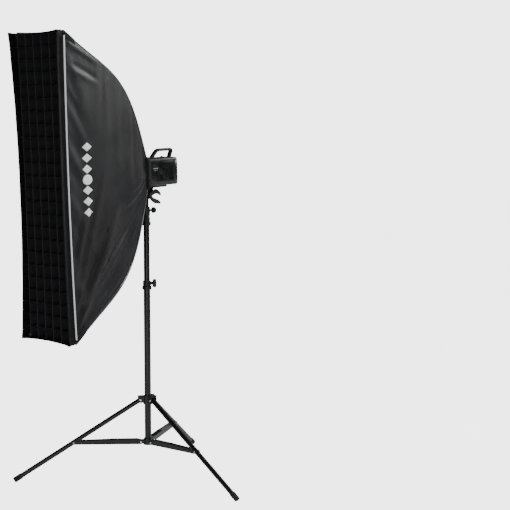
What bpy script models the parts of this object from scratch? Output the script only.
"""Studio strip softbox on a compact flash head, a tilting bracket and a folding air stand.

Metres, +Z up. The light shines towards -Y. The stand's tube axis is X = Y = 0 until
place_on_floor() moves the whole object so that the world origin is at its bottom centre.
"""

import math

import bmesh
import bpy
from mathutils import Matrix, Vector

# Gaps between pieces
TOUCH_GAP = 0.0003
RUNNING_GAP = 0.0004
PIN_GAP = 0.0003

# Stand: tubes
MAIN_TUBE_RADIUS = 0.014
TUBE_WALL = 0.0012
TUBE_SLIDE_GAP = 0.0003
MIDDLE_TUBE_RADIUS = MAIN_TUBE_RADIUS - TUBE_WALL - TUBE_SLIDE_GAP
TOP_TUBE_RADIUS = MIDDLE_TUBE_RADIUS - TUBE_WALL - TUBE_SLIDE_GAP
MAIN_TUBE_BOTTOM = 0.134
MIDDLE_TUBE_LENGTH = 0.640
TOP_TUBE_LENGTH = 0.440
LOWER_CLAMP_Z = 0.810
UPPER_CLAMP_Z = 1.079
CLAMP_HEIGHT = 0.037
CLAMP_WIDE_WALL = 0.0060
CLAMP_SLIM_WALL = 0.0030
CLAMP_STEP_Z = -0.003
CLAMP_SEAT_Z = 0.006
SPIGOT_RADIUS = 0.008
SPIGOT_LENGTH = 0.031
SPIGOT_FLANGE = 0.0008

# Stand: legs, braces and the two collars
LEG_DIRECTIONS = [math.radians(a) for a in (-3.5, 116.5, 236.5)]
LEG_RADIUS = 0.010
LEG_WALL = 0.0012
LEG_LENGTH = 0.6166
LEG_END_OVERHANG = 0.007
LEG_ANGLE = math.radians(59.2)
FOOT_WALL = 0.0013
FOOT_LENGTH = 0.034
FOOT_FLOOR = 0.004
FOOT_SOLE_CUT = 0.0015
UPPER_COLLAR_WALL = 0.0055
UPPER_COLLAR_RADIUS = MAIN_TUBE_RADIUS + UPPER_COLLAR_WALL
PIVOT_STANDOFF = 0.0125
PIVOT_REACH = UPPER_COLLAR_RADIUS + PIVOT_STANDOFF
PIN_RADIUS = 0.003
PIN_HEAD_RADIUS = 0.0048
PIN_HEAD_HEIGHT = 0.0016
BRACE_JOINT_ON_LEG = 0.330
LOWER_COLLAR_Z = 0.1438
LOWER_COLLAR_WALL = 0.0045
LOWER_COLLAR_RADIUS = MAIN_TUBE_RADIUS + LOWER_COLLAR_WALL
LOWER_COLLAR_HEIGHT = 0.028
LUG_RADIUS = 0.0085
COLLAR_BELOW_PIVOT = 0.020
COLLAR_ABOVE_PIVOT = 0.0165
COLLAR_ROOF = 0.003
EAR_THICKNESS = 0.003
EAR_BEYOND_PIVOT = 0.009
EAR_REACH = PIVOT_REACH + EAR_BEYOND_PIVOT
EAR_DROP = 0.012
FLANGE_THICKNESS = 0.002
FLANGE_GAP = 0.0006
BRACE_INNER_RADIUS = 0.009
BRACE_OUTER_RADIUS = 0.0075
WEB_START = 0.013
WEB_END = 0.115
WEB_THICKNESS = 0.0016

# Knobs of the stand
CLAMP_KNOB_RADIUS = 0.0185
CLAMP_KNOB_THICKNESS = 0.014
SMALL_KNOB_RADIUS = 0.013
SMALL_KNOB_THICKNESS = 0.012
SCREW_RADIUS = 0.003
KNOB_LOBES = 5
BOSS_RADIUS = 0.0065
BOSS_PROUD = 0.005
COLLAR_BOSS_RADIUS = 0.006
COLLAR_BOSS_PROUD = 0.004
COLLAR_KNOB_RISE = 0.004
COLLAR_KNOB_STANDOFF = 0.0045
CLAMP_KNOB_RISE = 0.008
SOCKET_KNOB_RISE = 0.023
SOCKET_KNOB_STANDOFF = 0.020
SCREW_HOLE_SKIN = 0.0015
SCREW_TIP_SKIN = 0.0022
CLAMP_HOLE_SKIN = 0.0012
CLAMP_TIP_GAP = 0.0006
LOWER_KNOB_DIRECTION = math.radians(40.0)
UPPER_KNOB_DIRECTION = math.radians(222.0)
COLLAR_KNOB_DIRECTION = math.radians(56.5)
SOCKET_KNOB_DIRECTION = math.radians(90.0)

# Tilting bracket
SOCKET_BOTTOM = UPPER_CLAMP_Z + CLAMP_HEIGHT / 2 + 0.0024
SOCKET_RADIUS = 0.0155
SOCKET_HEIGHT = 0.0375
TILT_AXIS_Z = 1.1875
TILT_FRONT_DOWN = math.radians(2.0)
TONGUE_THICKNESS = 0.012
KNUCKLE_RADIUS = 0.018
CHEEK_THICKNESS = 0.006
BOLT_RADIUS = 0.004
BOLT_REACH = 0.025
HUB_RADIUS = 0.009
LEVER_LENGTH = 0.075
LEVER_WIDTH = 0.012
WING_THICKNESS = 0.0055
UPPER_WING = [
    (0.0020, -0.0075),
    (0.0160, 0.0000),
    (0.0300, 0.0040),
    (0.0440, 0.0025),
    (0.0570, -0.0045),
    (0.0615, -0.0020),
    (0.0560, 0.0090),
    (0.0460, 0.0185),
    (0.0320, 0.0240),
    (0.0160, 0.0190),
    (0.0020, 0.0080),
]
LOWER_WING = [
    (0.0075, 0.0020),
    (0.0140, -0.0100),
    (0.0260, -0.0155),
    (0.0400, -0.0205),
    (0.0520, -0.0275),
    (0.0580, -0.0355),
    (0.0550, -0.0395),
    (0.0420, -0.0385),
    (0.0260, -0.0355),
    (0.0120, -0.0275),
    (0.0020, -0.0160),
    (-0.0040, -0.0075),
]
FOOT_BLOCK_WIDTH = 0.040
FOOT_BLOCK_FRONT = 0.018
FOOT_BLOCK_REAR = 0.100
FOOT_BLOCK_HEIGHT = 0.0085

# Flash head
HEAD_AXIS_RISE = 0.095
HEAD_HALF_WIDTH = 0.050
HEAD_HALF_HEIGHT = 0.057
HEAD_FRONT = 0.020
HEAD_REAR = 0.150
HEAD_REAR_ROUNDING = 0.027
HEAD_FRONT_ROUNDING = 0.008
SHELL_WALL = 0.0025
SHELL_HALF_HEIGHT = 0.044
COVER_CHAMFER = 0.008
MOUNT_RADIUS = 0.050
MOUNT_WALL = 0.008
MOUNT_DEPTH = 0.014
MOUNT_FLOOR = 0.0035
PANEL_HALF_WIDTH = 0.032
PANEL_BELOW_AXIS = 0.039
PANEL_ABOVE_AXIS = 0.036
PANEL_THICKNESS = 0.012
PANEL_PROUD = 0.0025
DIAL_RADIUS = 0.011
DIAL_HEIGHT = 0.011
BUTTON_RADIUS = 0.0045
BUTTON_TRAVEL = 0.0015
BUTTON_PROUD = 0.0025
SWITCH_WIDTH = 0.020
SWITCH_HEIGHT = 0.013
INLET_WIDTH = 0.027
INLET_HEIGHT = 0.020
HANDLE_WIDTH = 0.020
HANDLE_THICKNESS = 0.0075
HANDLE_RISE = 0.037
HANDLE_FRONT = 0.028
HANDLE_REAR = 0.1405
HANDLE_LEAN_FRONT = 0.033
HANDLE_LEAN_REAR = 0.017
HANDLE_LEG = 0.010
CATCH_LENGTH = 0.014
CATCH_WIDTH = 0.018
CATCH_HEIGHT = 0.006
FLASH_RING_RADIUS = 0.024
FLASH_TUBE_RADIUS = 0.003
LAMP_RADIUS = 0.011
LAMP_LENGTH = 0.048

# Softbox
SOFTBOX_WIDTH = 0.300
SOFTBOX_HEIGHT = 1.200
FRONT_REACH = 0.520
FRONT_SAG = 0.030
SIDE_PULL = {-1: 0.020, 1: 0.010}
END_PULL = 0.007
PULL_START_REACH = 0.200
ROD_RADIUS = 0.002
ROD_INSET = 0.004
ROD_START_REACH = 0.0437
ROD_START_HALF_WIDTH = 0.0533
ROD_START_HALF_HEIGHT = 0.0600
ROD_TIP_SHORTFALL = 0.008
ROD_POINTS = 22
FABRIC_THICKNESS = 0.0015
PANEL_STEPS = 18
PANEL_START = 0.003
SOCKET_FLARE = 0.08
LIP_DEPTH = 0.032
LIP_WALL = 0.002
GRID_CLEARANCE = 0.0015
GRID_COLUMNS = 6
GRID_ROWS = 24
GRID_STRIP = 0.0016
SHEET_THICKNESS = 0.0010
DIFFUSER_BEHIND_PIPING = 0.014
BAFFLE_REACH = 0.300
RING_OUTER_RADIUS = 0.062
RING_THICKNESS = 0.014
RING_START_REACH = 0.0265
ROD_SOCKET_RADIUS = 0.005
ROD_SOCKET_LENGTH = 0.022
ROD_SOCKET_FLOOR = 0.003

ROUND_SIDES = 24
SMALL_SIDES = 12
EDGE_STEPS = 6
OVERLAP = 0.001

OBJECT_NAME = "studio_softbox"


# ---------------------------------------------------------------- scene and materials


def clear_scene():
    for obj in list(bpy.data.objects):
        bpy.data.objects.remove(obj, do_unlink=True)


def new_collection(name):
    collection = bpy.data.collections.new(name)
    bpy.context.scene.collection.children.link(collection)
    return collection


def paint(obj, colour, roughness, metallic=0.0):
    """Gives the object a material of its own."""
    mat = bpy.data.materials.new(obj.name)
    mat.use_nodes = True
    shader = mat.node_tree.nodes["Principled BSDF"]
    shader.inputs["Base Color"].default_value = (*colour, 1.0)
    shader.inputs["Roughness"].default_value = roughness
    shader.inputs["Metallic"].default_value = metallic
    obj.data.materials.clear()
    obj.data.materials.append(mat)
    return obj


GLOSS_BLACK = dict(colour=(0.012, 0.012, 0.013), roughness=0.25)
SATIN_BLACK = dict(colour=(0.02, 0.02, 0.022), roughness=0.5)
RUBBER_BLACK = dict(colour=(0.015, 0.015, 0.015), roughness=0.8)
CLOTH_BLACK = dict(colour=(0.03, 0.03, 0.033), roughness=0.75)
CLOTH_WHITE = dict(colour=(0.85, 0.85, 0.84), roughness=0.8)
STEEL = dict(colour=(0.62, 0.62, 0.63), roughness=0.3, metallic=1.0)
ALUMINIUM = dict(colour=(0.78, 0.78, 0.79), roughness=0.35, metallic=1.0)
GLASS = dict(colour=(0.9, 0.88, 0.82), roughness=0.1)
GREY_PLASTIC = dict(colour=(0.25, 0.25, 0.26), roughness=0.45)


# ---------------------------------------------------------------- building helpers


def add(name, mesh, parent=None):
    obj = bpy.data.objects.new(name, mesh)
    PARTS.objects.link(obj)
    obj.parent = parent
    return obj


def empty(name, parent=None, location=(0, 0, 0), rotation=(0, 0, 0)):
    obj = add(name, None, parent)
    obj.empty_display_size = 0.02
    obj.location = location
    obj.rotation_euler = rotation
    return obj


def mesh_from(name, build, closed=True):
    """A mesh made by build(bm); a closed one gets its normals facing out."""
    bm = bmesh.new()
    build(bm)
    if closed:
        bmesh.ops.recalc_face_normals(bm, faces=bm.faces)
    mesh = bpy.data.meshes.new(name)
    bm.to_mesh(mesh)
    bm.free()
    return mesh


def smooth(obj, angle=math.radians(35)):
    obj.data.shade_smooth()
    obj.data.set_sharp_from_angle(angle=angle)
    return obj


def block(name, low, high, parent=None):
    """A box between two corners."""
    low, high = Vector(low), Vector(high)
    size = high - low

    def build(bm):
        matrix = Matrix.Translation((low + high) / 2) @ Matrix.Diagonal((*size, 1))
        bmesh.ops.create_cube(bm, size=1.0, matrix=matrix)

    return add(name, mesh_from(name, build), parent)


AXIS_TURN = {
    "X": Matrix.Rotation(math.pi / 2, 4, "Y"),
    "Y": Matrix.Rotation(-math.pi / 2, 4, "X"),
    "Z": Matrix.Identity(4),
}


def rod_solid(name, radius, start, end, axis, parent=None, centre=(0, 0), sides=24):
    """A cylinder along X, Y or Z from start to end; centre is its place on the other two axes."""
    middle = (start + end) / 2
    place = {
        "X": (middle, centre[0], centre[1]),
        "Y": (centre[0], middle, centre[1]),
        "Z": (centre[0], centre[1], middle),
    }[axis]

    def build(bm):
        matrix = Matrix.Translation(place) @ AXIS_TURN[axis]
        bmesh.ops.create_cone(
            bm,
            cap_ends=True,
            segments=sides,
            radius1=radius,
            radius2=radius,
            depth=end - start,
            matrix=matrix,
        )

    return smooth(add(name, mesh_from(name, build), parent))


def turned(name, profile, parent=None, closed=False, axis="Z", sides=ROUND_SIDES):
    """Turns (radius, height) points about Z; the outer side runs from top to bottom."""
    mesh = bpy.data.meshes.new(name)
    count = len(profile)
    edges = [(i, i + 1) for i in range(count - 1)]
    if closed:
        edges.append((count - 1, 0))
    mesh.from_pydata([(r, 0.0, z) for r, z in profile], edges, [])
    obj = add(name, mesh, parent)
    screw = obj.modifiers.new("turn", "SCREW")
    screw.axis = "Z"
    screw.steps = screw.render_steps = sides
    screw.use_merge_vertices = True
    screw.merge_threshold = 0.00005
    if axis != "Z":
        obj.matrix_basis = AXIS_TURN[axis]
    return obj


def tube(name, outer, inner, bottom, top, parent=None, axis="Z", sides=ROUND_SIDES):
    profile = [(outer, top), (outer, bottom), (inner, bottom), (inner, top)]
    return turned(name, profile, parent, closed=True, axis=axis, sides=sides)


def evaluated_mesh(obj, name):
    """The object's mesh with its modifiers applied and any loose caps welded."""
    bpy.context.view_layer.update()
    graph = bpy.context.evaluated_depsgraph_get()
    mesh = bpy.data.meshes.new_from_object(obj.evaluated_get(graph))
    mesh.name = name
    bm = bmesh.new()
    bm.from_mesh(mesh)
    bmesh.ops.remove_doubles(bm, verts=bm.verts, dist=0.00002)
    bm.to_mesh(mesh)
    bm.free()
    return mesh


def plate(name, outlines, thickness, parent=None):
    """Flat outlines in X and Y, the first one solid and the rest holes, centred on Z = 0."""
    curve = bpy.data.curves.new(name + "_outline", "CURVE")
    curve.dimensions = "2D"
    curve.fill_mode = "BOTH"
    curve.extrude = thickness / 2
    for outline in outlines:
        spline = curve.splines.new("POLY")
        spline.points.add(len(outline) - 1)
        for point, (x, y) in zip(spline.points, outline):
            point.co = (x, y, 0, 1)
        spline.use_cyclic_u = True
    guide = add(name + "_outline", curve)
    mesh = evaluated_mesh(guide, name)
    bpy.data.objects.remove(guide, do_unlink=True)
    return add(name, mesh, parent)


def loft(name, sections, parent=None):
    """Joins equal rings of points into one closed solid with flat ends."""

    def build(bm):
        rings = [[bm.verts.new(point) for point in ring] for ring in sections]
        for lower, upper in zip(rings, rings[1:]):
            for i in range(len(lower)):
                j = (i + 1) % len(lower)
                bm.faces.new((lower[i], lower[j], upper[j], upper[i]))
        bm.faces.new(list(reversed(rings[0])))
        bm.faces.new(rings[-1])

    return add(name, mesh_from(name, build), parent)


def wire(name, points, radius, parent=None, resolution=2):
    curve = bpy.data.curves.new(name, "CURVE")
    curve.dimensions = "3D"
    curve.bevel_depth = radius
    curve.bevel_resolution = resolution
    curve.use_fill_caps = True
    spline = curve.splines.new("POLY")
    spline.points.add(len(points) - 1)
    for point, place in zip(spline.points, points):
        point.co = (*place, 1)
    return add(name, curve, parent)


def hide_tool(obj, parent):
    """Moves a cutter or a joined shape out of the parts and under the piece that it works on."""
    for collection in list(obj.users_collection):
        collection.objects.unlink(obj)
    TOOLS.objects.link(obj)
    obj.hide_render = True
    obj.display_type = "WIRE"
    if obj.parent is None:
        obj.parent = parent.parent


def combine(target, others, operation):
    for other in others:
        hide_tool(other, target)
        modifier = target.modifiers.new(operation.lower(), "BOOLEAN")
        modifier.operation = operation
        modifier.object = other
    return target


def join(target, *others):
    return combine(target, others, "UNION")


def cut(target, *others):
    return combine(target, others, "DIFFERENCE")


def arc(centre, radius, start, end, steps):
    """Points on an arc, from the start angle to the end angle in degrees."""
    points = []
    for i in range(steps + 1):
        angle = math.radians(start + (end - start) * i / steps)
        x = centre[0] + radius * math.cos(angle)
        y = centre[1] + radius * math.sin(angle)
        points.append((x, y))
    return points


# ---------------------------------------------------------------- knobs


def lobed_outline(radius, lobes, steps_per_lobe=6):
    """A round knob's outline with shallow hollows between its lobes."""
    points = []
    count = lobes * steps_per_lobe
    for i in range(count):
        angle = 2 * math.pi * i / count
        reach = radius * (0.9 + 0.1 * math.cos(lobes * angle))
        points.append((reach * math.cos(angle), reach * math.sin(angle)))
    return points


def lock_knob(name, parent, head_radius, head_thickness, head_start, screw_start):
    """A lobed head and its screw on the parent's +X axis; distances run out along that axis."""
    holder = empty(name + "_axis", parent, rotation=(0, math.pi / 2, 0))
    knob = plate(name, [lobed_outline(head_radius, KNOB_LOBES)], head_thickness, holder)
    knob.location = (0, 0, head_start + head_thickness / 2)
    top = head_thickness / 2 - OVERLAP
    screw = rod_solid(
        name + "_screw",
        SCREW_RADIUS,
        screw_start - head_start - head_thickness / 2,
        top,
        "Z",
        knob,
        sides=SMALL_SIDES,
    )
    join(knob, screw)
    return paint(knob, **SATIN_BLACK)


# ---------------------------------------------------------------- stand


def leg_pivot_height():
    """Height of the leg pivots over the floor when the feet's flat soles stand on it."""
    foot = LEG_RADIUS + TOUCH_GAP + FOOT_WALL
    return LEG_LENGTH * math.cos(LEG_ANGLE) + foot * math.sin(LEG_ANGLE) - FOOT_SOLE_CUT


def brace_line():
    """Length of a brace and its slope above the horizontal, from its two pivots."""
    out = BRACE_JOINT_ON_LEG * math.sin(LEG_ANGLE)
    rise = leg_pivot_height() - BRACE_JOINT_ON_LEG * math.cos(LEG_ANGLE) - LOWER_COLLAR_Z
    return math.hypot(out, rise), math.atan2(rise, out)


def leg_sides(root):
    """One empty for each leg, on the stand's axis, with its +X towards that leg."""
    return [
        empty(f"leg_side_{i + 1}", root, rotation=(0, 0, angle))
        for i, angle in enumerate(LEG_DIRECTIONS)
    ]


def make_main_tube(root):
    top = LOWER_CLAMP_Z + 0.006 - TOUCH_GAP
    inner = MAIN_TUBE_RADIUS - TUBE_WALL
    paint(tube("main_tube", MAIN_TUBE_RADIUS, inner, MAIN_TUBE_BOTTOM, top, root), **GLOSS_BLACK)


def pin_hole(name, side, height, half_width):
    return rod_solid(
        name,
        PIN_RADIUS + PIN_GAP,
        -half_width,
        half_width,
        "Y",
        side,
        centre=(PIVOT_REACH, height),
        sides=SMALL_SIDES,
    )


def make_lower_collar(root, sides):
    """The fixed collar: a cup on the tube's end with one lug for each brace."""
    bore = MAIN_TUBE_RADIUS + TOUCH_GAP
    floor = MAIN_TUBE_BOTTOM - TOUCH_GAP
    bottom = LOWER_COLLAR_Z - LOWER_COLLAR_HEIGHT / 2
    top = bottom + LOWER_COLLAR_HEIGHT
    radius = LOWER_COLLAR_RADIUS
    profile = [(0, floor), (bore, floor), (bore, top), (radius, top), (radius, bottom), (0, bottom)]
    collar = turned("lower_collar", profile, root)
    half = LEG_RADIUS
    for i, side in enumerate(sides):
        low = (bore + 0.002, -half, LOWER_COLLAR_Z - LUG_RADIUS)
        high = (PIVOT_REACH, half, LOWER_COLLAR_Z + LUG_RADIUS)
        web = block(f"lower_lug_{i}", low, high, side)
        eye = rod_solid(
            f"lower_eye_{i}", LUG_RADIUS, -half, half, "Y", side, centre=(PIVOT_REACH, LOWER_COLLAR_Z)
        )
        join(collar, web, eye)
    for i, side in enumerate(sides):
        cut(collar, pin_hole(f"lower_pin_hole_{i}", side, LOWER_COLLAR_Z, 2 * half))
    paint(collar, **SATIN_BLACK)


def make_upper_collar(root, sides):
    """The sliding collar: a sleeve with a roofed pair of ears for each leg."""
    pivot = leg_pivot_height()
    bore = MAIN_TUBE_RADIUS + RUNNING_GAP
    top = pivot + COLLAR_ABOVE_PIVOT
    sleeve = tube("upper_collar", UPPER_COLLAR_RADIUS, bore, pivot - COLLAR_BELOW_PIVOT, top, root)
    slot = LEG_RADIUS + FLANGE_GAP
    outside = slot + EAR_THICKNESS
    for i, side in enumerate(sides):
        ears = block(
            f"ears_{i}",
            (bore + 0.002, -outside, pivot - EAR_DROP),
            (EAR_REACH, outside, top - 0.0005),
            side,
        )
        join(sleeve, ears)
    for i, side in enumerate(sides):
        gap = block(
            f"ear_gap_{i}",
            (UPPER_COLLAR_RADIUS - OVERLAP, -slot, pivot - 2 * EAR_DROP),
            (EAR_REACH + OVERLAP, slot, top - COLLAR_ROOF),
            side,
        )
        cut(sleeve, gap, pin_hole(f"upper_pin_hole_{i}", side, pivot, 2 * outside))
    height = pivot + COLLAR_KNOB_RISE
    screw_side = empty("collar_knob_side", root, (0, 0, height), (0, 0, COLLAR_KNOB_DIRECTION))
    boss_end = UPPER_COLLAR_RADIUS + COLLAR_BOSS_PROUD
    boss = rod_solid("collar_boss", COLLAR_BOSS_RADIUS, bore + 0.003, boss_end, "X", screw_side)
    hole_radius = SCREW_RADIUS + PIN_GAP
    hole_start = bore + SCREW_HOLE_SKIN
    hole = rod_solid("collar_screw_hole", hole_radius, hole_start, EAR_REACH, "X", screw_side)
    cut(join(sleeve, boss), hole)
    lock_knob(
        "collar_lock_knob",
        screw_side,
        SMALL_KNOB_RADIUS,
        SMALL_KNOB_THICKNESS,
        UPPER_COLLAR_RADIUS + COLLAR_KNOB_STANDOFF,
        bore + SCREW_TIP_SKIN,
    )
    paint(sleeve, **SATIN_BLACK)


def headed_pin(name, side, height, half_width):
    """A rivet through both cheeks of a hinge, with a low head outside each."""
    inner = half_width + TOUCH_GAP
    outer = inner + PIN_HEAD_HEIGHT
    profile = [
        (0, outer),
        (PIN_HEAD_RADIUS * 0.7, outer),
        (PIN_HEAD_RADIUS, outer - PIN_HEAD_HEIGHT * 0.6),
        (PIN_HEAD_RADIUS, inner),
        (PIN_RADIUS, inner),
        (PIN_RADIUS, -inner),
        (PIN_HEAD_RADIUS, -inner),
        (PIN_HEAD_RADIUS, -outer + PIN_HEAD_HEIGHT * 0.6),
        (PIN_HEAD_RADIUS * 0.7, -outer),
        (0, -outer),
    ]
    holder = empty(name + "_axis", side, (PIVOT_REACH, 0, height), (math.pi / 2, 0, 0))
    paint(turned(name, profile, holder, sides=SMALL_SIDES), **STEEL)


def make_leg(number, side):
    """A leg tube and its rubber foot, on the collar's hinge axis."""
    hinge = empty(f"leg_hinge_{number}", side, (PIVOT_REACH, 0, leg_pivot_height()))
    hinge.rotation_euler = (0, math.pi / 2 - LEG_ANGLE, 0)
    end = LEG_LENGTH - FOOT_FLOOR - TOUCH_GAP
    inner = LEG_RADIUS - LEG_WALL
    leg = tube(f"leg_{number}", LEG_RADIUS, inner, -LEG_END_OVERHANG, end, hinge, axis="X", sides=20)
    hole = rod_solid(
        f"leg_pin_hole_{number}",
        PIN_RADIUS + PIN_GAP,
        -2 * LEG_RADIUS,
        2 * LEG_RADIUS,
        "Y",
        hinge,
        sides=SMALL_SIDES,
    )
    paint(cut(leg, hole), **GLOSS_BLACK)
    bore = LEG_RADIUS + TOUCH_GAP
    outer = bore + FOOT_WALL
    start = LEG_LENGTH - FOOT_LENGTH
    floor = LEG_LENGTH - FOOT_FLOOR
    profile = [(0, LEG_LENGTH), (outer, LEG_LENGTH), (outer, start), (bore, start), (bore, floor), (0, floor)]
    foot = turned(f"foot_{number}", profile, hinge, axis="X", sides=20)
    reach = PIVOT_REACH + LEG_LENGTH * math.sin(LEG_ANGLE)
    sole = block(f"sole_{number}", (reach - 0.05, -0.03, -0.02), (reach + 0.03, 0.03, 0.0), side)
    paint(cut(foot, sole), **RUBBER_BLACK)


def flange_outline(length):
    """Side view of a brace: a deep inner half that carries the web, and a slim outer half."""
    top = LEG_RADIUS + FLANGE_GAP + WEB_THICKNESS
    points = arc((0, 0), BRACE_INNER_RADIUS, 90, 270, 6)
    points += arc((length, 0), BRACE_OUTER_RADIUS, -90, 90, 6)
    points += [(WEB_END + 0.015, top - 0.001), (WEB_END, top), (WEB_START, top)]
    return points


def make_brace(number, side):
    """Two flanges that the leg passes between, joined by a web over their inner half."""
    length, slope = brace_line()
    hinge = empty(f"brace_hinge_{number}", side, (PIVOT_REACH, 0, LOWER_COLLAR_Z), (0, -slope, 0))
    inside = LEG_RADIUS + FLANGE_GAP
    middle = inside + FLANGE_THICKNESS / 2
    near = plate(f"brace_{number}", [flange_outline(length)], FLANGE_THICKNESS, hinge)
    near.location = (0, -middle, 0)
    near.rotation_euler = (math.pi / 2, 0, 0)
    far = plate(f"brace_far_{number}", [flange_outline(length)], FLANGE_THICKNESS, hinge)
    far.location = (0, middle, 0)
    far.rotation_euler = (math.pi / 2, 0, 0)
    web = block(
        f"brace_web_{number}",
        (WEB_START + OVERLAP, -middle, LEG_RADIUS + FLANGE_GAP),
        (WEB_END - OVERLAP, middle, LEG_RADIUS + FLANGE_GAP + WEB_THICKNESS - 0.0002),
        hinge,
    )
    join(near, web, far)
    outside = inside + FLANGE_THICKNESS
    for s, sign in (("a", -1), ("b", 1)):
        ends = sorted((sign * (outside - 0.0005), sign * (outside + PIN_HEAD_HEIGHT)))
        head = rod_solid(
            f"rivet_{s}_{number}", 0.004, ends[0], ends[1], "Y", hinge, centre=(length, 0), sides=SMALL_SIDES
        )
        join(near, head)
    hole = rod_solid(
        f"brace_pin_hole_{number}",
        PIN_RADIUS + PIN_GAP,
        -2 * outside,
        2 * outside,
        "Y",
        hinge,
        sides=SMALL_SIDES,
    )
    paint(cut(near, hole), **GLOSS_BLACK)


def make_clamp(name, height, lower_radius, upper_radius, direction, root):
    """A stepped sleeve on the end of one tube, with a screw that grips the next tube."""
    half = CLAMP_HEIGHT / 2
    lower_bore = lower_radius + TOUCH_GAP
    upper_bore = upper_radius + RUNNING_GAP
    wide = lower_radius + CLAMP_WIDE_WALL
    slim = lower_radius + CLAMP_SLIM_WALL
    profile = [
        (slim - 0.001, half),
        (slim, half - 0.001),
        (slim, CLAMP_STEP_Z),
        (wide, CLAMP_STEP_Z - 0.002),
        (wide, -half + 0.002),
        (wide - 0.0015, -half),
        (lower_bore, -half),
        (lower_bore, CLAMP_SEAT_Z),
        (upper_bore, CLAMP_SEAT_Z),
        (upper_bore, half),
    ]
    side = empty(name + "_side", root, (0, 0, height), (0, 0, direction))
    clamp = turned(name, profile, side, closed=True)
    boss_end = wide + BOSS_PROUD
    screw_axis = empty(name + "_screw_axis", side, (0, 0, CLAMP_KNOB_RISE))
    boss = rod_solid(name + "_boss", BOSS_RADIUS, slim - 0.002, boss_end, "X", screw_axis)
    hole_radius = SCREW_RADIUS + PIN_GAP
    hole_start = upper_bore + CLAMP_HOLE_SKIN
    hole = rod_solid(name + "_hole", hole_radius, hole_start, boss_end + 0.01, "X", screw_axis)
    # The screw's hole stays above the tube end and short of the sliding tube.
    cut(join(clamp, boss), hole)
    lock_knob(
        name + "_knob",
        screw_axis,
        CLAMP_KNOB_RADIUS,
        CLAMP_KNOB_THICKNESS,
        boss_end + TOUCH_GAP,
        hole_start + CLAMP_TIP_GAP,
    )
    paint(clamp, **SATIN_BLACK)


def make_sliding_tubes(root):
    """The middle and top tubes and the spigot; the top tube is pushed fully in."""
    top = UPPER_CLAMP_Z + CLAMP_SEAT_Z - TOUCH_GAP
    bottom = top - MIDDLE_TUBE_LENGTH
    inner = MIDDLE_TUBE_RADIUS - TUBE_WALL
    paint(tube("middle_tube", MIDDLE_TUBE_RADIUS, inner, bottom, top, root), **GLOSS_BLACK)
    top = UPPER_CLAMP_Z + CLAMP_HEIGHT / 2 + 0.001
    bottom = top - TOP_TUBE_LENGTH
    inner = TOP_TUBE_RADIUS - TUBE_WALL
    paint(tube("top_tube", TOP_TUBE_RADIUS, inner, bottom, top, root), **GLOSS_BLACK)
    plug = inner - TOUCH_GAP
    shoulder = top + TOUCH_GAP
    profile = [
        (0, shoulder + SPIGOT_LENGTH),
        (SPIGOT_RADIUS - 0.001, shoulder + SPIGOT_LENGTH),
        (SPIGOT_RADIUS, shoulder + SPIGOT_LENGTH - 0.001),
        (SPIGOT_RADIUS, shoulder + SPIGOT_FLANGE),
        (TOP_TUBE_RADIUS, shoulder + SPIGOT_FLANGE),
        (TOP_TUBE_RADIUS, shoulder),
        (plug, shoulder),
        (plug, shoulder - 0.020),
        (0, shoulder - 0.020),
    ]
    paint(turned("stand_spigot", profile, root), **STEEL)


def make_stand(root):
    sides = leg_sides(root)
    make_main_tube(root)
    make_lower_collar(root, sides)
    make_upper_collar(root, sides)
    for i, side in enumerate(sides):
        make_leg(i + 1, side)
        make_brace(i + 1, side)
        ears = LEG_RADIUS + FLANGE_GAP + EAR_THICKNESS
        headed_pin(f"leg_pin_{i + 1}", side, leg_pivot_height(), ears)
        flanges = LEG_RADIUS + FLANGE_GAP + FLANGE_THICKNESS
        headed_pin(f"brace_pin_{i + 1}", side, LOWER_COLLAR_Z, flanges)
    make_clamp(
        "lower_clamp", LOWER_CLAMP_Z, MAIN_TUBE_RADIUS, MIDDLE_TUBE_RADIUS, LOWER_KNOB_DIRECTION, root
    )
    make_clamp(
        "upper_clamp", UPPER_CLAMP_Z, MIDDLE_TUBE_RADIUS, TOP_TUBE_RADIUS, UPPER_KNOB_DIRECTION, root
    )
    make_sliding_tubes(root)


# ---------------------------------------------------------------- tilting bracket


def make_socket(pan):
    """The part that turns on the stand's spigot, with the tongue of the tilt knuckle."""
    bore = SPIGOT_RADIUS + RUNNING_GAP
    floor = SOCKET_HEIGHT - 0.005
    radius = SOCKET_RADIUS
    profile = [
        (0, floor),
        (bore, floor),
        (bore, 0),
        (radius, 0),
        (radius, SOCKET_HEIGHT),
        (0, SOCKET_HEIGHT),
    ]
    profile.reverse()
    socket = turned("stand_socket", profile, pan)
    rise = TILT_AXIS_Z - SOCKET_BOTTOM
    half = TONGUE_THICKNESS / 2
    neck = block("socket_neck", (-half, -0.008, SOCKET_HEIGHT - OVERLAP), (half, 0.008, rise), pan)
    tongue = rod_solid("socket_tongue", KNUCKLE_RADIUS, -half, half, "X", pan, centre=(0, rise))
    bolt_hole = rod_solid("socket_bolt_hole", BOLT_RADIUS + PIN_GAP, -0.02, 0.02, "X", pan, centre=(0, rise))
    side = empty("socket_knob_side", pan, (0, 0, SOCKET_KNOB_RISE), (0, 0, SOCKET_KNOB_DIRECTION))
    boss = rod_solid("socket_boss", BOSS_RADIUS, bore + 0.002, radius + BOSS_PROUD, "X", side)
    hole_start = bore + SCREW_HOLE_SKIN
    screw_hole = rod_solid("socket_screw_hole", SCREW_RADIUS + PIN_GAP, hole_start, 0.04, "X", side)
    cut(join(socket, neck, tongue, boss), bolt_hole, screw_hole)
    lock_knob(
        "socket_lock_knob",
        side,
        SMALL_KNOB_RADIUS,
        SMALL_KNOB_THICKNESS,
        radius + SOCKET_KNOB_STANDOFF,
        bore + SCREW_TIP_SKIN,
    )
    paint(socket, **ALUMINIUM)


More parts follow.
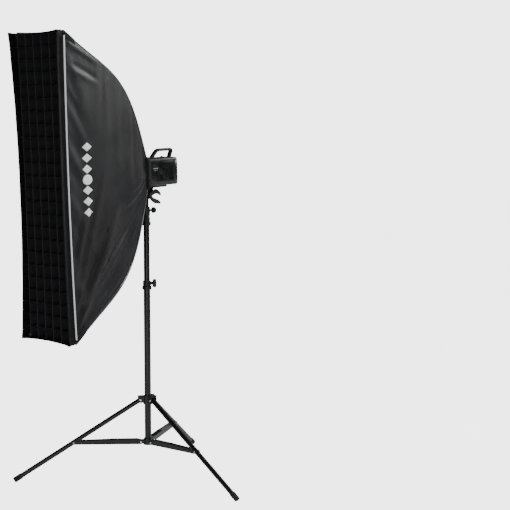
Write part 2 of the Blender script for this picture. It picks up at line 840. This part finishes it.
def stand_up(obj, x):
    """Turns a plate drawn in (Y, Z) so that it stands in that plane at x."""
    obj.matrix_basis = Matrix.Translation((x, 0, 0)) @ Matrix(
        ((0, 0, 1, 0), (1, 0, 0, 0), (0, 1, 0, 0), (0, 0, 0, 1))
    )
    return obj


def make_tilt_bracket(tilt):
    """Two cheeks on the tongue, under the block that the flash head is bolted to."""
    inside = TONGUE_THICKNESS / 2 + 0.0005
    outside = inside + CHEEK_THICKNESS
    top = HEAD_AXIS_RISE - HEAD_HALF_HEIGHT - TOUCH_GAP
    bottom = top - FOOT_BLOCK_HEIGHT
    bracket = block(
        "tilt_bracket",
        (-FOOT_BLOCK_WIDTH / 2, -FOOT_BLOCK_FRONT, bottom),
        (FOOT_BLOCK_WIDTH / 2, FOOT_BLOCK_REAR, top),
        tilt,
    )
    outline = arc((0, 0), KNUCKLE_RADIUS, 180, 360, 10)
    outline.append((KNUCKLE_RADIUS + 0.014, bottom + OVERLAP))
    outline.append((-FOOT_BLOCK_FRONT + OVERLAP, bottom + OVERLAP))
    for name, x in (("cheek_a", inside + CHEEK_THICKNESS / 2), ("cheek_b", -inside - CHEEK_THICKNESS / 2)):
        join(bracket, stand_up(plate(name, [outline], CHEEK_THICKNESS, tilt), x))
    hole = rod_solid("cheek_hole", BOLT_RADIUS + PIN_GAP, -2 * outside, 2 * outside, "X", tilt)
    paint(cut(bracket, hole), **SATIN_BLACK)
    bolt = rod_solid("tilt_bolt", BOLT_RADIUS, -BOLT_REACH, BOLT_REACH, "X", tilt, sides=16)
    paint(bolt, **STEEL)
    return outside


def hub(name, sign, start, tilt):
    """A round hub over one end of the tilt bolt, open towards the knuckle."""
    end = BOLT_REACH + 0.003
    ends = sorted((sign * start, sign * end))
    solid = rod_solid(name, HUB_RADIUS, ends[0], ends[1], "X", tilt, sides=20)
    bore = sorted((sign * (start - OVERLAP), sign * (BOLT_REACH + TOUCH_GAP)))
    hole = rod_solid(name + "_bore", BOLT_RADIUS + PIN_GAP, bore[0], bore[1], "X", tilt, sides=16)
    return solid, hole


def make_tilt_handles(tilt, cheek):
    """The long locking lever on one side of the knuckle and the winged nut on the other."""
    start = cheek + TOUCH_GAP
    middle = BOLT_REACH - WING_THICKNESS / 2 + 0.001
    lever, hole = hub("tilt_lever", -1, start, tilt)
    tip = LEVER_WIDTH * 0.36
    outline = arc((0, 0), HUB_RADIUS - 0.0005, 0, 180, 8)
    outline += arc((0.004, -LEVER_LENGTH), tip, 180, 360, 8)
    arm = stand_up(plate("lever_arm", [outline], WING_THICKNESS + 0.001, tilt), -middle)
    paint(cut(join(lever, arm), hole), **SATIN_BLACK)
    wing, hole = hub("tilt_wing_nut", 1, start, tilt)
    # Two drooping wings reach back, one over and one under the bolt.
    for name, outline in (("wing_upper", UPPER_WING), ("wing_lower", LOWER_WING)):
        join(wing, stand_up(plate(name, [outline], WING_THICKNESS, tilt), middle))
    paint(cut(wing, hole), **SATIN_BLACK)


# ---------------------------------------------------------------- flash head


def head_outline(inset=0.0):
    """Plan view of the flash head: square front, rounded rear."""
    half = HEAD_HALF_WIDTH - inset
    front = -HEAD_FRONT + inset
    rear = HEAD_REAR - inset
    round_rear = HEAD_REAR_ROUNDING - inset
    round_front = max(HEAD_FRONT_ROUNDING - inset, 0.001)
    points = arc((half - round_rear, rear - round_rear), round_rear, 0, 90, 7)
    points += arc((-half + round_rear, rear - round_rear), round_rear, 90, 180, 7)
    points += arc((-half + round_front, front + round_front), round_front, 180, 270, 3)
    points += arc((half - round_front, front + round_front), round_front, 270, 360, 3)
    return points


def panel_span():
    """The lowest and highest corners of the rear panel, measured from the optical axis."""
    low = (-PANEL_HALF_WIDTH, HEAD_REAR + PANEL_PROUD - PANEL_THICKNESS, -PANEL_BELOW_AXIS)
    high = (PANEL_HALF_WIDTH, HEAD_REAR + PANEL_PROUD, PANEL_ABOVE_AXIS)
    return low, high


def make_side_shell(head):
    """The band round the head's sides, open for the rear panel."""
    shell = plate("side_shell", [head_outline(), head_outline(SHELL_WALL)], 2 * SHELL_HALF_HEIGHT, head)
    low, high = panel_span()
    gap = TOUCH_GAP
    window = block(
        "panel_window",
        (low[0] - gap, low[1] - 0.02, low[2] - gap),
        (high[0] + gap, high[1] + 0.02, high[2] + gap),
        head,
    )
    paint(cut(shell, window), **GLOSS_BLACK)


def make_covers(head):
    """The pale top and bottom covers with their broad chamfers."""
    start = SHELL_HALF_HEIGHT + TOUCH_GAP
    levels = [(0.0, start), (0.0, HEAD_HALF_HEIGHT - COVER_CHAMFER)]
    levels += [(COVER_CHAMFER * 0.35, HEAD_HALF_HEIGHT - COVER_CHAMFER * 0.3)]
    levels += [(COVER_CHAMFER, HEAD_HALF_HEIGHT)]
    for name, sign in (("top_cover", 1), ("bottom_cover", -1)):
        rings = [[(x, y, sign * z) for x, y in head_outline(inset)] for inset, z in levels]
        paint(loft(name, rings, head), **GREY_PLASTIC)


def make_front(head):
    """The modifier mount, the ring-shaped flash tube and the modelling lamp."""
    start = HEAD_FRONT + TOUCH_GAP
    floor = start + MOUNT_FLOOR
    end = start + MOUNT_DEPTH
    inner = MOUNT_RADIUS - MOUNT_WALL
    optical = empty("optical_front", head, rotation=(math.pi / 2, 0, 0))
    profile = [
        (0, floor),
        (inner, floor),
        (inner, end),
        (MOUNT_RADIUS, end),
        (MOUNT_RADIUS, start),
        (0, start),
    ]
    paint(turned("modifier_mount", profile, optical, sides=32), **ALUMINIUM)
    base = floor + TOUCH_GAP
    reach = base + 0.016
    ring = FLASH_RING_RADIUS
    arc_points = arc((0, 0), ring, 12, 348, 20)
    points = [(*arc_points[0], base)] + [(x, y, reach) for x, y in arc_points] + [(*arc_points[-1], base)]
    paint(wire("flash_tube", points, FLASH_TUBE_RADIUS, optical), **GLASS)
    r = LAMP_RADIUS
    profile = [(0, base + LAMP_LENGTH)]
    profile += [(x, base + LAMP_LENGTH - r + y) for x, y in arc((0, 0), r, 75, 0, 4)]
    profile += [(r, base + 0.018), (r * 0.75, base + 0.013), (r * 0.75, base), (0, base)]
    paint(turned("modelling_lamp", profile, optical, sides=16), **GLASS)


def make_rear_panel(head):
    """The control panel and what is set into it."""
    low, high = panel_span()
    face = high[1]
    panel = block("rear_panel", low, high, head)
    dial_at = (-0.012, 0.006)
    shaft = rod_solid("dial_hole", 0.003 + PIN_GAP, face - 0.006, face + 0.01, "Y", head, centre=dial_at)
    cut(panel, shaft)
    dial_place = empty("dial_axis", head, (dial_at[0], face, dial_at[1]), (-math.pi / 2, 0, 0))
    edge = DIAL_RADIUS - 0.0012
    profile = [
        (0, DIAL_HEIGHT),
        (edge, DIAL_HEIGHT),
        (DIAL_RADIUS, DIAL_HEIGHT - 0.0012),
        (DIAL_RADIUS, TOUCH_GAP),
        (0.003, TOUCH_GAP),
        (0.003, -0.005),
        (0, -0.005),
    ]
    paint(turned("power_dial", profile, dial_place), **SATIN_BLACK)
    buttons = (("test_button", (0.016, 0.016)), ("mode_button", (0.016, -0.001)))
    for name, place in buttons:
        well = face - BUTTON_TRAVEL - 0.0045
        hole = rod_solid(
            name + "_well", BUTTON_RADIUS + PIN_GAP, well, face + 0.01, "Y", head, centre=place, sides=16
        )
        cut(panel, hole)
        start = well + BUTTON_TRAVEL + 0.0006
        button = rod_solid(
            name, BUTTON_RADIUS, start, face + BUTTON_PROUD, "Y", head, centre=place, sides=16
        )
        paint(button, **GREY_PLASTIC)
    make_switch_and_inlet(head, panel, face)
    paint(panel, **SATIN_BLACK)


def make_switch_and_inlet(head, panel, face):
    """The rocker switch beside the mains inlet, both below the dial."""
    row = -PANEL_BELOW_AXIS + INLET_HEIGHT / 2 + 0.005
    x = -PANEL_HALF_WIDTH + SWITCH_WIDTH / 2 + 0.004
    half_w, half_h = SWITCH_WIDTH / 2, SWITCH_HEIGHT / 2
    room = 0.0006
    pocket = block(
        "switch_pocket",
        (x - half_w - room, face - 0.007, row - half_h - room),
        (x + half_w + room, face + 0.01, row + half_h + room),
        head,
    )
    cut(panel, pocket)
    rocker_axis = empty("switch_axis", head, (x, face - 0.002, row))
    # The pressed half lies nearly flush, so the section is a shallow V about the axis.
    outline = [(-half_h, -0.0012), (half_h, -0.0012), (half_h, 0.0022), (0, 0.0026), (-half_h, 0.0052)]
    rocker = plate("power_switch", [[(y, -z) for z, y in outline]], SWITCH_WIDTH, rocker_axis)
    stand_up(rocker, 0)
    paint(rocker, colour=(0.5, 0.02, 0.02), roughness=0.35)
    x = PANEL_HALF_WIDTH - INLET_WIDTH / 2 - 0.004
    half_w, half_h = INLET_WIDTH / 2, INLET_HEIGHT / 2
    gap = TOUCH_GAP
    depth = PANEL_THICKNESS + 0.010
    window = block(
        "inlet_window",
        (x - half_w - gap, face - depth - 0.01, row - half_h - gap),
        (x + half_w + gap, face + 0.01, row + half_h + gap),
        head,
    )
    cut(panel, window)
    inlet = block(
        "power_inlet",
        (x - half_w, face - depth, row - half_h),
        (x + half_w, face + 0.001, row + half_h),
        head,
    )
    wall = 0.002
    cavity = block(
        "inlet_cavity",
        (x - half_w + wall, face - depth + 0.003, row - half_h + wall),
        (x + half_w - wall, face + 0.01, row + half_h - wall),
        head,
    )
    paint(cut(inlet, cavity), **SATIN_BLACK)


def make_handle(head):
    """The carry handle: a strap whose two legs both lean back from the front."""
    base = HEAD_HALF_HEIGHT + TOUCH_GAP
    top = base + HANDLE_RISE
    under = top - HANDLE_THICKNESS
    front = HANDLE_FRONT
    rear = HANDLE_REAR
    bar_front = front + HANDLE_LEAN_FRONT
    bar_rear = rear + HANDLE_LEAN_REAR
    outer = [(front, base), (bar_front - 0.004, top - 0.003), (bar_front + 0.003, top)]
    outer += [(bar_rear - 0.009, top), (bar_rear, top - 0.008), (rear, base)]
    inner = [(rear - HANDLE_LEG, base), (bar_rear - HANDLE_LEG - 0.004, under - 0.003)]
    inner += [(bar_rear - HANDLE_LEG - 0.007, under), (bar_front + 0.008, under)]
    inner += [(bar_front + 0.004, under - 0.002), (front + HANDLE_LEG, base)]
    handle = stand_up(plate("carry_handle", [outer + inner], HANDLE_WIDTH, head), 0)
    paint(handle, **SATIN_BLACK)


def make_catch(head):
    """The sprung slider that frees the modifier from the mount."""
    base = HEAD_HALF_HEIGHT + RUNNING_GAP
    front = -HEAD_FRONT + COVER_CHAMFER + 0.001
    catch = block(
        "release_catch",
        (0.018, front, base),
        (0.018 + CATCH_WIDTH, front + CATCH_LENGTH, base + CATCH_HEIGHT),
        head,
    )
    bevel = catch.modifiers.new("edges", "BEVEL")
    bevel.width = 0.0012
    bevel.segments = 1
    paint(catch, **SATIN_BLACK)


# ---------------------------------------------------------------- softbox


def rod_shape(t):
    """Forward, sideways and upward fractions along a bent rod, 0 at the ring and 1 at the front."""

    def bezier(a, b):
        return 3 * t * (1 - t) ** 2 * a + 3 * t * t * (1 - t) * b + t ** 3

    return bezier(0.21, 0.49), bezier(0.175, 0.72), bezier(0.74, 0.67)


def rod_place(t):
    """Forward reach, half width, half height and sag of the box's frame at t."""
    forward, across, up = rod_shape(t)
    end_x = SOFTBOX_WIDTH / 2 - ROD_INSET
    end_z = SOFTBOX_HEIGHT / 2 - ROD_INSET
    reach = ROD_START_REACH + forward * (FRONT_REACH - ROD_START_REACH)
    half_width = ROD_START_HALF_WIDTH + across * (end_x - ROD_START_HALF_WIDTH)
    half_height = ROD_START_HALF_HEIGHT + up * (end_z - ROD_START_HALF_HEIGHT)
    return reach, half_width, half_height, FRONT_SAG * up


def t_at_reach(reach):
    """The place along the rods that is this far forward."""
    low, high = 0.0, 1.0
    for _ in range(40):
        middle = (low + high) / 2
        if rod_place(middle)[0] < reach:
            low = middle
        else:
            high = middle
    return low


def pull_share(reach):
    """How much of the front edges' inward pull the cloth shows at a reach: 0 at the rear, 1 in front."""
    x = min(max((reach - PULL_START_REACH) / (FRONT_REACH - PULL_START_REACH), 0.0), 1.0)
    return x * x * (3 - 2 * x)


def pulled(x, z, half_width, half_height, share):
    """Moves a point on a front edge inwards: the cloth hangs between the rods in shallow curves."""
    u, v = x / half_width, z / half_height
    side = SIDE_PULL[1 if x > 0 else -1]
    x -= u * side * share * (1 - v * v)
    z -= v * END_PULL * share * (1 - u * u)
    return x, z


def pulled_outline(half_width, half_height, share, sag=FRONT_SAG):
    """The box's cross-section as a closed outline with its edges pulled in between the corners."""
    spots = [(-1 + 2 * i / EDGE_STEPS, -1) for i in range(EDGE_STEPS)]
    spots += [(1, -1 + i / EDGE_STEPS) for i in range(2 * EDGE_STEPS)]
    spots += [(1 - 2 * i / EDGE_STEPS, 1) for i in range(EDGE_STEPS)]
    spots += [(-1, 1 - i / EDGE_STEPS) for i in range(2 * EDGE_STEPS)]
    outline = []
    for u, v in spots:
        x, z = pulled(u * half_width, v * half_height, half_width, half_height, share)
        outline.append((x, z - sag))
    return outline


def rod_point(t, x_sign, z_sign):
    reach, half_width, half_height, sag = rod_place(t)
    return Vector((x_sign * half_width, -reach, z_sign * half_height - sag))


CORNERS = (("upper_left", -1, 1), ("upper_right", 1, 1), ("lower_left", -1, -1), ("lower_right", 1, -1))


def rod_start(x_sign, z_sign):
    """Where a rod enters its socket, and its direction there."""
    mouth = rod_point(0.0, x_sign, z_sign)
    direction = (rod_point(0.01, x_sign, z_sign) - mouth).normalized()
    return mouth, direction


def make_rods(box):
    last = t_at_reach(FRONT_REACH - ROD_TIP_SHORTFALL)
    depth = ROD_SOCKET_LENGTH - ROD_SOCKET_FLOOR - TOUCH_GAP
    for name, x_sign, z_sign in CORNERS:
        mouth, direction = rod_start(x_sign, z_sign)
        points = [mouth - direction * depth]
        points += [rod_point(last * i / ROD_POINTS, x_sign, z_sign) for i in range(ROD_POINTS + 1)]
        paint(wire("rod_" + name, points, ROD_RADIUS, box, resolution=1), **STEEL)


def turned_to(direction):
    return direction.to_track_quat("Z", "Y").to_matrix().to_4x4()


def aimed_cylinder(name, radius, start, direction, length, parent):
    def build(bm):
        matrix = Matrix.Translation(start + direction * length / 2) @ turned_to(direction)
        bmesh.ops.create_cone(
            bm,
            cap_ends=True,
            segments=SMALL_SIDES,
            radius1=radius,
            radius2=radius,
            depth=length,
            matrix=matrix,
        )

    return add(name, mesh_from(name, build), parent)


def make_speedring(box):
    """The ring that turns on the modifier mount, with one socket tube for each rod."""
    start = RING_START_REACH
    end = start + RING_THICKNESS
    bore = MOUNT_RADIUS + RUNNING_GAP
    optical = empty("optical_ring", box, rotation=(math.pi / 2, 0, 0))
    profile = [
        (RING_OUTER_RADIUS - 0.002, end),
        (RING_OUTER_RADIUS, end - 0.002),
        (RING_OUTER_RADIUS, start),
        (bore, start),
        (bore, end),
    ]
    ring = turned("speedring", profile, optical, closed=True, sides=32)
    for name, x_sign, z_sign in CORNERS:
        mouth, direction = rod_start(x_sign, z_sign)
        base = mouth - direction * ROD_SOCKET_LENGTH
        sleeve = aimed_cylinder("socket_" + name, ROD_SOCKET_RADIUS, base, direction, ROD_SOCKET_LENGTH, box)
        join(ring, sleeve)
    for name, x_sign, z_sign in CORNERS:
        mouth, direction = rod_start(x_sign, z_sign)
        floor = mouth - direction * (ROD_SOCKET_LENGTH - ROD_SOCKET_FLOOR)
        bore_length = ROD_SOCKET_LENGTH + OVERLAP
        hole = aimed_cylinder(
            "socket_bore_" + name, ROD_RADIUS + 2 * TOUCH_GAP, floor, direction, bore_length, box
        )
        cut(ring, hole)
    paint(ring, **ALUMINIUM)


def offset_profile(kind, last):
    """Points (reach, half size) of a panel's inner face, clear of the rods and their sockets."""
    index = 1 if kind == "side" else 2
    steps = [PANEL_START + (last - PANEL_START) * i / PANEL_STEPS for i in range(PANEL_STEPS + 1)]
    places = [rod_place(t) for t in steps]
    line = [Vector((place[0], place[index])) for place in places]
    points = []
    for i, point in enumerate(line):
        along = (line[min(i + 1, PANEL_STEPS)] - line[max(i - 1, 0)]).normalized()
        near_socket = max(0.0, 1 - steps[i] / SOCKET_FLARE)
        lift = ROD_RADIUS + TOUCH_GAP + (ROD_SOCKET_RADIUS - ROD_RADIUS) * near_socket
        points.append(point + Vector((-along.y, along.x)) * lift)
    points[-1].x = FRONT_REACH - TOUCH_GAP
    return points, places


def make_panel(name, kind, sign, box):
    """One gore of the black shell, ruled between two rods and thickened outwards."""
    last = t_at_reach(FRONT_REACH - TOUCH_GAP)
    points, places = offset_profile(kind, last)

    def build(bm):
        rows = []
        for point, (_, half_width, half_height, sag) in zip(points, places):
            reach, out = point
            share = pull_share(reach)
            row = []
            for step in range(2 * EDGE_STEPS + 1 if kind == "side" else EDGE_STEPS + 1):
                if kind == "side":
                    v = step / EDGE_STEPS - 1
                    edge = half_height - TOUCH_GAP
                    x = out - SIDE_PULL[sign] * share * (1 - v * v)
                    row.append((sign * x, -reach, v * edge - sag))
                else:
                    u = 2 * step / EDGE_STEPS - 1
                    edge = half_width - TOUCH_GAP
                    z = out - END_PULL * share * (1 - u * u)
                    row.append((u * edge, -reach, sign * z - sag))
            rows.append([bm.verts.new(place) for place in row])
        for near, far in zip(rows, rows[1:]):
            for i in range(len(near) - 1):
                bm.faces.new((near[i], near[i + 1], far[i + 1], far[i]))

    mesh = mesh_from(name, build, closed=False)
    panel = add(name, mesh, box)
    middle = mesh.polygons[len(mesh.polygons) // 2]
    outward = middle.normal.x * sign if kind == "side" else middle.normal.z * sign
    solid = panel.modifiers.new("cloth", "SOLIDIFY")
    solid.thickness = FABRIC_THICKNESS
    solid.offset = 1.0 if outward > 0 else -1.0
    paint(panel, **CLOTH_BLACK)


def lay_forward(obj, reach):
    """Turns a plate drawn in (X, Z of the box) to face forward, centred at this reach."""
    obj.matrix_basis = Matrix.Translation((0, -reach, 0)) @ Matrix.Rotation(math.pi / 2, 4, "X")
    return obj


def make_sheet(name, reach, margin, box):
    """A thin stretched sheet across the inside of the shell."""
    _, half_width, half_height, sag = rod_place(t_at_reach(reach))
    inset = ROD_RADIUS + margin
    outline = pulled_outline(half_width - inset, half_height - inset, pull_share(reach), sag)
    paint(lay_forward(plate(name, [outline], SHEET_THICKNESS, box), reach), **CLOTH_WHITE)


def make_front_lip(box):
    outer = pulled_outline(SOFTBOX_WIDTH / 2, SOFTBOX_HEIGHT / 2, 1.0)
    inner = pulled_outline(SOFTBOX_WIDTH / 2 - LIP_WALL, SOFTBOX_HEIGHT / 2 - LIP_WALL, 1.0)
    lip = plate("front_lip", [outer, inner], LIP_DEPTH, box)
    paint(lay_forward(lip, FRONT_REACH + LIP_DEPTH / 2), **CLOTH_BLACK)


def make_grid(box):
    """The egg-crate: a lattice of cloth strips, deep along the light's direction."""
    half_width = SOFTBOX_WIDTH / 2 - LIP_WALL - GRID_CLEARANCE
    half_height = SOFTBOX_HEIGHT / 2 - LIP_WALL - GRID_CLEARANCE
    front = FRONT_REACH + LIP_DEPTH

    def build(bm):
        xs = [half_width * (2 * i / GRID_COLUMNS - 1) for i in range(GRID_COLUMNS + 1)]
        zs = [half_height * (2 * i / GRID_ROWS - 1) for i in range(GRID_ROWS + 1)]
        verts = []
        for z in zs:
            places = [pulled(x, z, half_width, half_height, 1.0) for x in xs]
            verts.append([bm.verts.new((x, -front, z - FRONT_SAG)) for x, z in places])
        for low, high in zip(verts, verts[1:]):
            for i in range(GRID_COLUMNS):
                bm.faces.new((low[i], low[i + 1], high[i + 1], high[i]))
        bm.normal_update()
        cells = list(bm.faces)
        bmesh.ops.inset_individual(bm, faces=cells, thickness=GRID_STRIP / 2)
        bmesh.ops.delete(bm, geom=cells, context="FACES_ONLY")

    mesh = mesh_from("egg_crate_grid", build, closed=False)
    grid = add("egg_crate_grid", mesh, box)
    solid = grid.modifiers.new("depth", "SOLIDIFY")
    solid.thickness = LIP_DEPTH - TOUCH_GAP
    solid.offset = -1.0 if mesh.polygons[0].normal.y < 0 else 1.0
    paint(grid, **CLOTH_BLACK)


def make_softbox(box):
    make_speedring(box)
    make_rods(box)
    make_panel("left_panel", "side", -1, box)
    make_panel("right_panel", "side", 1, box)
    make_panel("upper_panel", "end", 1, box)
    make_panel("lower_panel", "end", -1, box)
    make_sheet("inner_baffle", BAFFLE_REACH, 0.004, box)
    make_sheet("front_diffuser", FRONT_REACH - DIFFUSER_BEHIND_PIPING, 0.001, box)
    make_front_lip(box)
    make_grid(box)


# ---------------------------------------------------------------- whole object


def place_on_floor(root):
    """Moves everything so that the world origin is the bottom centre of the object's box."""
    bpy.context.view_layer.update()
    graph = bpy.context.evaluated_depsgraph_get()
    low = Vector((1e9, 1e9, 1e9))
    high = -low
    for obj in PARTS.objects:
        if obj.type == "EMPTY":
            continue
        evaluated = obj.evaluated_get(graph)
        mesh = evaluated.to_mesh()
        for vertex in mesh.vertices:
            place = evaluated.matrix_world @ vertex.co
            low = Vector(map(min, low, place))
            high = Vector(map(max, high, place))
        evaluated.to_mesh_clear()
    root.location = (-(low.x + high.x) / 2, -(low.y + high.y) / 2, -low.z)


def main():
    root = empty("floor_centre")
    make_stand(root)
    pan = empty("pan_axis", root, (0, 0, SOCKET_BOTTOM))
    make_socket(pan)
    tilt = empty("tilt_axis", root, (0, 0, TILT_AXIS_Z), (TILT_FRONT_DOWN, 0, 0))
    cheek = make_tilt_bracket(tilt)
    make_tilt_handles(tilt, cheek)
    head = empty("head_axis", tilt, (0, 0, HEAD_AXIS_RISE))
    make_side_shell(head)
    make_covers(head)
    make_front(head)
    make_rear_panel(head)
    make_handle(head)
    make_catch(head)
    box = empty("box_axis", tilt, (0, 0, HEAD_AXIS_RISE))
    make_softbox(box)
    place_on_floor(root)


clear_scene()
PARTS = new_collection(OBJECT_NAME)
TOOLS = new_collection("cutters")
main()
